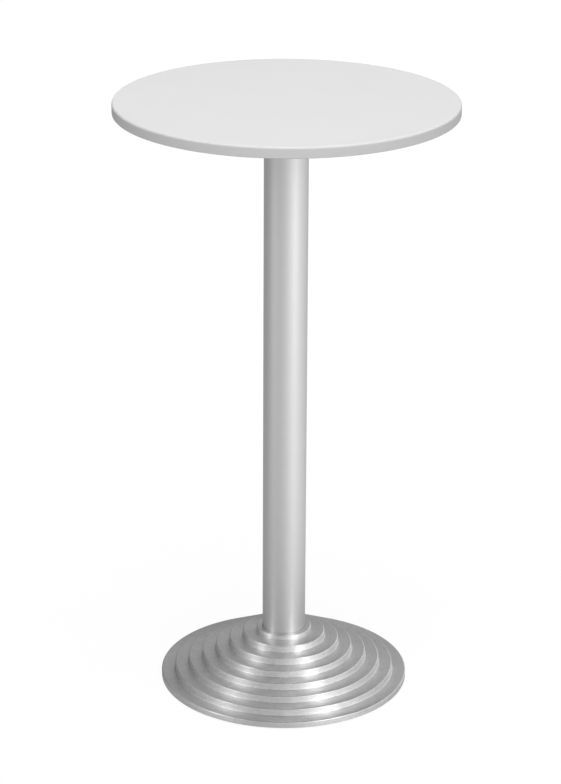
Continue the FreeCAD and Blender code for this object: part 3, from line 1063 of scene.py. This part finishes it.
@dataclass
class Column:
    """The tube, and the tie rod that clamps it, with nuts and washers."""

    radius: float = 39.0
    wall: float = 2.0
    foot: float = 89.75
    upper: float = 1056.5
    end_soft: float = 0.3
    rod_radius: float = 6.0
    rod_pitch: float = 1.75
    rod_chamfer: float = 0.9
    rod_foot: float = 40.95
    rod_top: float = 1069.8
    lower_thread: float = 62.0
    upper_thread: float = 50.0
    nut_flats: float = 18.0
    nut_height: float = 10.8
    nut_feet: tuple[float, float] = (43.95, 1056.0)
    bore_slack: float = 0.05
    bore_mouth: float = 1.4
    bore_chamfer: float = 0.9
    clamp: tuple[float, ...] = (25.0, 54.75, 59.75)
    washer: tuple[float, ...] = (12.0, 1053.5, 1056.0)
    washer_bore: float = 6.5

    def build(self) -> None:
        """Model the tube and what clamps it."""
        tube = Bench.ring("column", self.radius - self.wall, self.radius, self.foot, self.upper,
                          [(self.end_soft, 2)] * 4, BROAD_STEPS)
        deliver(tube, TUBE_SATIN, "column_tube")
        deliver(self.rod(), FASTENER_ZINC, "tie_rod")
        for name, node, foot in (("lower_rod_nut", "rod_nut_bottom", self.nut_feet[0]),
                                 ("upper_rod_nut", "rod_nut_top", self.nut_feet[1])):
            deliver(self.nut(name, foot), FASTENER_ZINC, node)
        for name, node, size in (("hub_washer", "clamp_washer", self.clamp),
                                 ("upper_rod_washer", "rod_washer_top", self.washer)):
            disc = Bench.ring(name, self.washer_bore, *size, ((), (0.5, 3), (0.2, 2)))
            deliver(disc, FASTENER_ZINC, node)

    def rod(self) -> Thing:
        """The tie rod, threaded at both ends and plain between.

        Returns:
            The rod.
        """
        low, high = self.rod_foot + self.lower_thread, self.rod_top - self.upper_thread
        full, core = self.rod_radius, self.rod_radius - self.rod_chamfer
        shank = Bench.turned("column_rod", [
            (0, low - 2), (core, low - 2), (full, low), (full, high), (core, high + 2),
            (0, high + 2)], 48)
        threads = [Bench.rod_thread(full, self.rod_pitch, *ends)
                   for ends in ((self.rod_foot, low - 1), (high + 1, self.rod_top))]
        return Bench.joined([shank, *threads])

    def nut(self, name: str, foot: float) -> Thing:
        """A hexagon nut on the rod.

        Args:
            name: the piece's name.
            foot: its lower face, in millimetres.

        Returns:
            The nut.
        """
        top = foot + self.nut_height
        mouth, inside = self.rod_radius + self.bore_mouth, self.rod_radius + self.bore_slack
        bore = [(0, foot - 1), (mouth, foot - 1), (inside, foot + self.bore_chamfer),
                (inside, top - self.bore_chamfer), (mouth, top + 1), (0, top + 1)]
        nut = Bench.hexagon(name, self.nut_flats, foot, top)
        return Bench.combine(nut, Bench.turned("nut_bore", bore, 48), Join.CUT)


@dataclass
class Base:
    """The stepped casting, the ring round the foot of the tube and the ballast inside."""

    radii: tuple[float, ...] = (225.0, 200.0, 175.0, 150.0, 125.0, 100.0, 75.0)
    rim_foot: float = 2.0
    rim_height: float = 11.25
    riser: float = 12.75
    nose: float = 2.0
    cove: float = 2.0
    spigot: tuple[float, ...] = (31.8, 36.8, 101.75)
    rod_hole: float = 6.5
    hub: tuple[float, float] = (30.0, 59.75)
    ceiling: tuple[float, float] = (50.0, 82.75)
    mouth: float = 208.33
    rib_count: int = 8
    rib_thickness: float = 4.0
    rib_corners: Profile = ((27.5, 34.0), (152.45, 34.0), (50.0, 86.25), (27.5, 86.25))
    ballast_boss: tuple[float, ...] = (110.5, 11.0, 30.0, 60.75)
    foot_boss: tuple[float, ...] = (180.0, 10.0, 11.0, 22.5)
    bore_radius: float = 4.05
    ballast_bore_end: float = 49.4
    foot_bore_end: float = 23.0
    skin_reach: float = 3.0
    skin_margin: float = 0.4
    collar: tuple[float, ...] = (39.15, 50.0, 98.75)
    ring: tuple[float, ...] = (50.0, 145.0, 9.0, 30.0)
    counterbore: tuple[float, float] = (10.5, 18.0)
    bolt_hole: float = 4.5
    bolt_flats: float = 13.0
    bolt_head: tuple[float, float] = (11.1, 16.4)
    bolt_tip: float = 46.4
    washer: tuple[float, ...] = (4.25, 8.0, 16.4, 18.0)

    @property
    def crown(self) -> float:
        """Height of the highest tread."""
        return self.rim_foot + self.rim_height + self.riser * (len(self.radii) - 1)

    def roof(self, radius: float) -> float:
        """Height of the hollow's slope at a distance from the axis, in millimetres."""
        flat, height = self.ceiling
        return height - max(0.0, radius - flat) * (height - self.rim_foot) / (self.mouth - flat)

    def build(self) -> None:
        """Model the casting, the collar and the ballast."""
        for make, finish, node in ((self.casting, BASE_TURNED, "base_casting"),
                                   (self.foot_ring, BASE_TURNED, "column_collar"),
                                   (self.ballast, IRON_COAT, "ballast_ring"),
                                   (self.bolts, FASTENER_ZINC, "ballast_bolts"),
                                   (self.washers, FASTENER_ZINC, "ballast_washers")):
            deliver(make(), finish, node)

    def shell(self) -> Thing:
        """The stepped shell: treads and risers outside, a plain cone inside.

        Returns:
            The shell.
        """
        corners = []
        foot, tread = self.rim_foot, self.rim_foot + self.rim_height
        for radius in self.radii:
            hollow = self.cove if corners else 0.5
            corners += [(radius, foot, hollow, 4), (radius, tread, self.nose, 5)]
            foot, tread = tread, tread + self.riser
        inner, outer, top = self.spigot
        hub_radius, hub_foot = self.hub
        flat, height = self.ceiling
        corners += [
            (outer, self.crown), (outer, top, 0.8, 2), (inner, top, 0.4, 2), (inner, self.crown),
            (self.rod_hole, self.crown), (self.rod_hole, hub_foot), (hub_radius, hub_foot, 1.0, 2),
            (hub_radius, height, 3.0, 4), (flat, height, 3.0, 4),
            (self.mouth, self.rim_foot, 0.8, 2)]
        return Bench.turned("stepped_base", corners, BROAD_STEPS)

    def rib(self) -> Thing:
        """One rib between hub and slope, above the ballast.

        Returns:
            The rib.
        """
        Bench.start_wire("base_rib")
        half = self.rib_thickness / 2 * MM
        Bench.run_wire([(radius * MM, -half, height * MM) for radius, height in self.rib_corners])
        Bench.whole()
        bpy.ops.mesh.edge_face_add()
        Bench.whole()
        bpy.ops.mesh.extrude_region_move(TRANSFORM_OT_translate={"value": (0, 2 * half, 0)})
        return Bench.close()

    @staticmethod
    def posts(radius: float, low: float, high: float, at: float, angle: float = 0,
              steps: int = 40) -> list[Thing]:
        """Four upright round bars round the axis.

        Args:
            radius: of a bar, in millimetres.
            low: its lower end, in millimetres.
            high: its upper end, in millimetres.
            at: its distance from the axis, in millimetres.
            angle: where the first one stands, in degrees from +X.
            steps: a bar's segments.

        Returns:
            The bars.
        """
        bar = Bench.ring("post", 0, radius, low, high, ((), (min(0.8, radius / 5), 2)), steps)
        turn = math.radians(angle)
        return Bench.copy_round(Bench.shift(bar, at * math.cos(turn), at * math.sin(turn)))

    def casting(self) -> Thing:
        """The whole casting, with ribs, bosses, bores and its cast skin inside.

        Returns:
            The casting.
        """
        casting = self.shell()
        step = 360 / self.rib_count
        ribs = Bench.copy_round(self.rib(), [step * n for n in range(1, self.rib_count)])
        casting = Bench.combine(casting, Bench.joined(ribs), Join.UNION)
        bosses, bores = [], []
        for (at, radius, low, high), bore_end, first in (
                (self.ballast_boss, self.ballast_bore_end, 0),
                (self.foot_boss, self.foot_bore_end, 45)):
            bosses += self.posts(radius, low, high, at, first)
            bores += self.posts(self.bore_radius, low - 5, bore_end, at, first, 32)
        casting = Bench.combine(casting, Bench.joined(bosses), Join.UNION)
        casting = Bench.combine(casting, Bench.joined(bores), Join.CUT)
        self.skin_inside(casting)
        return casting

    def skin_inside(self, casting: Thing) -> None:
        """Give the faces of the hollow the finish of the mould.

        Args:
            casting: the casting.
        """
        for finish in (BASE_TURNED, BASE_CAST):
            casting.data.materials.append(finish.material())

        def is_inside(place: Vector) -> bool:
            """Whether a place lies on the wall of the hollow."""
            reach = math.hypot(place.x, place.y)
            return (place.z < self.roof(reach / MM) * MM + self.skin_reach * MM
                    and reach < (self.mouth - self.skin_margin) * MM)

        Bench.edit(casting)
        Bench.pick(is_inside, faces=True)
        casting.active_material_index = 1
        bpy.ops.object.material_slot_assign()
        bpy.ops.object.mode_set(mode="OBJECT")

    def foot_ring(self) -> Thing:
        """The turned ring slid over the foot of the tube."""
        bore, outside, top = self.collar
        return Bench.ring("foot_ring", bore, outside, self.crown, top,
                          ((), (0.25, 2), (self.nose, 5), (0.9, 3)), BROAD_STEPS)

    def ballast(self) -> Thing:
        """The iron ring with pockets for the bolts' heads.

        Returns:
            The ring.
        """
        low, high = self.ring[2:]
        ring = Bench.ring("ballast_disc", *self.ring, ((1.5, 3), (3.0, 4), (1.5, 3), (1.5, 3)), 160)
        pocket_radius, pocket_end = self.counterbore
        for radius, foot, top in ((pocket_radius, low - 5, pocket_end),
                                  (self.bolt_hole, low, high + 5)):
            for cutter in self.posts(radius, foot, top, self.ballast_boss[0], steps=48):
                ring = Bench.combine(ring, cutter, Join.CUT)
        return ring

    def bolts(self) -> Thing:
        """The four bolts that hold the ballast up.

        Returns:
            The bolts.
        """
        low, high = self.bolt_head
        head = Bench.hexagon("ballast_bolt_set", self.bolt_flats, low, high)
        bolt = Bench.joined([head, *Bench.stud(high - 1, high - 0.5, self.bolt_tip)])
        return Bench.joined(Bench.copy_round(Bench.shift(bolt, self.ballast_boss[0])))

    def washers(self) -> Thing:
        """The four washers above the bolts' heads."""
        washer = Bench.ring("ballast_washer_set", *self.washer, ((), (0.4, 3)), 48)
        return Bench.joined(Bench.copy_round(Bench.shift(washer, self.ballast_boss[0])))


@dataclass
class Feet:
    """The four levelling feet: a plastic pad and a threaded stem each."""

    circle: float = 180.0
    corners: tuple[tuple[str, int], ...] = (("back_right", 45), ("back_left", 135),
                                            ("front_left", 225), ("front_right", 315))
    pad_profile: Profile = (
        (0, 0.6), (8.0, 0.6), (8.5, 0.0), (11.0, 0.0), (11.4, 0.6), (12.6, 0.6), (13.0, 0.0),
        (16.0, 0.0, 0.6, 3), (16.0, 5.0, 1.2, 4), (9.6, 5.0, 0.3, 2), (9.3, 4.5, 0.2, 2),
        (8.0, 4.5, 0.2, 2), (7.7, 5.0, 0.3, 2), (5.05, 5.0, 0.3, 2), (5.05, 1.8), (0, 1.8))
    neck_radius: float = 5.0
    stem_foot: float = 1.95
    hex_flats: float = 13.0
    hex_ends: tuple[float, float] = (5.3, 10.6)
    stem_tip: float = 22.5

    def build(self) -> None:
        """Model one foot and copy it to its four places."""
        pad, stem = Bench.turned("pad_model", self.pad_profile), self.stem()
        for corner, angle in self.corners:
            turn = math.radians(angle)
            for model, name, finish in ((pad, "pad", FOOT_PLASTIC), (stem, "stem", FASTENER_ZINC)):
                Bench.copy(model)
                piece = Bench.shift(Bench.named(f"{name}_{corner}"), self.circle * math.cos(turn),
                                    self.circle * math.sin(turn))
                node = f"foot_{name}_{corner}"
                deliver(piece, finish, node, node)
        for model in (pad, stem):
            bpy.data.objects.remove(model, do_unlink=True)

    def stem(self) -> Thing:
        """A stem with the neck that turns in the pad, a hexagon and a thread.

        Returns:
            The stem.
        """
        low, high = self.hex_ends
        stem = Bench.hexagon("stem_model", self.hex_flats, low, high)
        neck = Bench.ring("stem_neck", 0, self.neck_radius, self.stem_foot, low + 0.2,
                          ((), (0.4, 2)), 40)
        return Bench.joined([stem, neck, *Bench.stud(high - 0.5, high - 0.2, self.stem_tip)])


# --- the studio -------------------------------------------------------------------------------


@dataclass(frozen=True)
class Softbox:
    """A rectangular lamp that looks at a point, either for what metal mirrors or for all else.

    Its azimuth counts from the camera's side, to the right; its sizes are in metres.
    """

    name: str
    azimuth: float
    distance: float
    height: float
    width: float
    tall: float
    radiance: float
    aim: float = 0.6
    for_metal: bool = True

    def light(self) -> None:
        """Put the lamp up."""
        turn = math.radians(self.azimuth)
        data = bpy.data.lights.new(self.name, "AREA")
        data.shape = "RECTANGLE"
        data.size = self.width
        data.size_y = self.tall
        data.energy = self.radiance * math.pi * self.width * self.tall
        lamp = bpy.data.objects.new(self.name, data)
        bpy.context.scene.collection.objects.link(lamp)
        lamp.location = (self.distance * math.sin(turn), -self.distance * math.cos(turn),
                         self.height)
        look = Vector((0, 0, self.aim)) - lamp.location
        lamp.rotation_euler = look.to_track_quat("-Z", "Y").to_euler()
        lamp.visible_camera = False
        lamp.visible_glossy = self.for_metal
        lamp.visible_diffuse = not self.for_metal


@dataclass(frozen=True)
class Glow:
    """Light that changes evenly: its middle level and its growth to the right, back and up."""

    level: float
    right: float = 0.0
    back: float = 0.0
    up: float = 0.0

    def along(self, board: Board, direction: Socket) -> Socket:
        """The level from a direction, which is a unit vector."""
        grown = zip(board.split(direction), (self.right, self.back, self.up))
        return board.math("ADD", board.weigh(*grown), self.level)


@dataclass(frozen=True)
class Ring:
    """Light that changes round the table: its levels at even steps of a full turn.

    They begin behind the table and go by way of the left and the front.
    """

    levels: tuple[float, ...]

    def along(self, board: Board, direction: Socket) -> Socket:
        """The light from a direction.

        Args:
            board: the tree that asks.
            direction: a vector's socket.

        Returns:
            The level's socket.
        """
        x, y, _ = board.split(direction)
        turn = board.math("ARCTAN2", x, board.math("MULTIPLY", y, -1.0))
        ramp = board.node("ValToRGB", (board.span(turn, -math.pi, math.pi),))
        stops = ramp.color_ramp.elements
        for number in range(1, len(self.levels)):
            stops.new(number / len(self.levels))
        peak = max(self.levels)
        for stop, level in zip(stops, self.levels + self.levels[:1]):
            stop.color = grey(level / peak)
        return board.math("MULTIPLY", ramp.outputs[0], peak)


@dataclass
class Studio:
    """Floor, world, lamps and camera, in metres."""

    walls: Ring = Ring((0.37, 0.10, 0.29, 0.47, 1.60, 0.75, 1.01, 2.20, 2.20, 1.60, 0.85, 1.02))
    wall_top: tuple[float, float] = (0.42, 0.71)
    ceiling: Ring = Ring((0.32, 0.73, 0.33, 0.44, 0.29, 0.0))
    ceiling_top: tuple[float, float] = (0.87, 0.98)
    # The floor's painted light as metal sees it: levels round the table, brightest at the front
    # right and darkest behind on the left.
    painted_floor_light: Ring = Ring((0.45, 0.39, 0.59, 0.93, 1.26, 0.95))
    ambient: Glow = Glow(0.435, right=0.10, back=-0.25, up=0.25)
    floor_level: float = 0.32
    backdrop: float = 1.03
    shadow_share: float = 0.12
    metal_share: float = 0.3
    # A painted shadow on the floor round the base, as metal sees it: its level, and the reach in
    # metres over which it fades into the painted light.
    painted_shadow_level: float = 0.30
    painted_shadow_reach: tuple[float, float] = (0.24, 0.6)
    shadow_reach: tuple[float, float] = (0.8, 2.2)
    floor_size: float = 60.0
    lens: float = 125.355
    sensor: float = 36.0
    camera_distance: float = 4.55157
    camera_height: float = 2.27506
    pitch: float = 20.6967
    yaw: float = 0.1020
    roll: float = 0.2891
    lamps: tuple[Softbox, ...] = (
        Softbox("key_right", azimuth=48.0, distance=3.0, height=2.5, width=0.6, tall=2.0,
                radiance=6.5),
        Softbox("fill_left", azimuth=-69.0, distance=3.0, height=2.7, width=0.45, tall=1.6,
                radiance=5.5),
        Softbox("front", azimuth=12.0, distance=4.0, height=1.2, width=1.6, tall=1.2,
                radiance=3.9, aim=0.9, for_metal=False),
        Softbox("overhead", azimuth=10.0, distance=0.5, height=3.6, width=2.6, tall=2.2,
                radiance=1.95, aim=1.0, for_metal=False),
    )

    def build(self) -> None:
        """Set the studio up."""
        self.lay_floor()
        self.fill_world()
        for lamp in self.lamps:
            lamp.light()
        self.place_camera()
        bpy.context.scene.view_settings.view_transform = "Standard"

    def lay_floor(self) -> None:
        """A plain floor: white to the eye, it keeps the shadow; in metal it shows painted light
        round the table and a painted shadow near the base.
        """
        Bench.clear()
        bpy.ops.mesh.primitive_plane_add(size=self.floor_size, location=(0, 0, 0))
        floor = Bench.named("studio_floor")
        material = bpy.data.materials.new("studio_floor")
        material.use_nodes = True
        board = Board(material.node_tree)
        path = board.node("LightPath").outputs
        in_metal = path["Is Glossy Ray"]
        seen = board.math("MAXIMUM", path["Is Camera Ray"], in_metal)
        seen = board.math("MAXIMUM", seen, path["Is Transmission Ray"])
        place = board.coordinates("Object")
        reach = board.node("VectorMath", (place,), operation="LENGTH").outputs["Value"]
        # As metal sees it, the floor takes a painted shadow near the base and, farther out, painted
        # light that changes round the table.
        away = board.span(reach, *self.painted_shadow_reach)
        under = board.math("SUBTRACT", 1.0, away)
        painted_floor_light = board.weigh((under, self.painted_shadow_level), (self.painted_floor_light.along(board, place), away))
        strength = board.pass_by(in_metal, self.backdrop, painted_floor_light)
        white = board.out("Emission", {"Strength": strength})
        color = board.blend(seen, grey(self.floor_level), grey(1.0))
        plain = board.out("BsdfDiffuse", {"Color": color})
        share = board.span(reach, *self.shadow_reach, self.shadow_share, 0.0)
        share = board.math("SUBTRACT", 1.0, board.pass_by(in_metal, share, self.metal_share))
        mixed = board.out("MixShader", (board.math("MULTIPLY", seen, share), plain, white))
        board.node("OutputMaterial", {"Surface": mixed})
        floor.data.materials.append(material)

    def fill_world(self) -> None:
        """A white backdrop, walls and ceiling as metal sees them, and a glow on all else."""
        world = bpy.data.worlds.new("studio")
        bpy.context.scene.world = world
        world.use_nodes = True
        board = Board(world.node_tree)
        path = board.node("LightPath").outputs
        direction = board.coordinates("Generated")
        height = board.split(direction)[2]
        above = board.span(height, *self.wall_top)
        below = board.math("SUBTRACT", 1.0, above)
        above = board.math("MULTIPLY", above, board.span(height, *self.ceiling_top, 1.0, 0.0))
        mirrored = board.weigh((self.walls.along(board, direction), below),
                               (self.ceiling.along(board, direction), above))
        color = board.blend(path["Is Glossy Ray"], self.ambient.along(board, direction), mirrored)
        seen = board.math("MAXIMUM", path["Is Camera Ray"], path["Is Transmission Ray"])
        glow = board.out("Background", {"Color": board.blend(seen, color, grey(1.0))})
        board.node("OutputWorld", {"Surface": glow})

    def place_camera(self) -> None:
        """The camera stands in front of the table, above it, and looks down."""
        data = bpy.data.cameras.new("camera")
        data.lens = self.lens
        data.sensor_width = self.sensor
        camera = bpy.data.objects.new("camera", data)
        bpy.context.scene.collection.objects.link(camera)
        camera.location = (0, -self.camera_distance, self.camera_height)
        pitch, yaw, roll = (math.radians(angle) for angle in (self.pitch, self.yaw, self.roll))
        ahead = Vector((0, math.cos(pitch), -math.sin(pitch)))
        above = Vector((0, math.sin(pitch), math.cos(pitch)))
        right = Vector((1, 0, 0))
        leaned = right * math.cos(roll) + above * math.sin(roll)
        upright = above * math.cos(roll) - right * math.sin(roll)
        turn = Matrix((leaned, upright, -ahead)).transposed()
        camera.rotation_euler = (Matrix.Rotation(yaw, 3, "Z") @ turn).to_euler()
        bpy.context.scene.camera = camera


def main() -> None:
    """Build the table round its frame and report its pieces."""
    logging.basicConfig(level=logging.INFO, format="%(name)s: %(message)s")
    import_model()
    Bench.clear()
    for assembly in (TableTop(), Spider(), Column(), Base(), Feet(), Studio()):
        assembly.build()


if __name__ == "__main__":
    main()
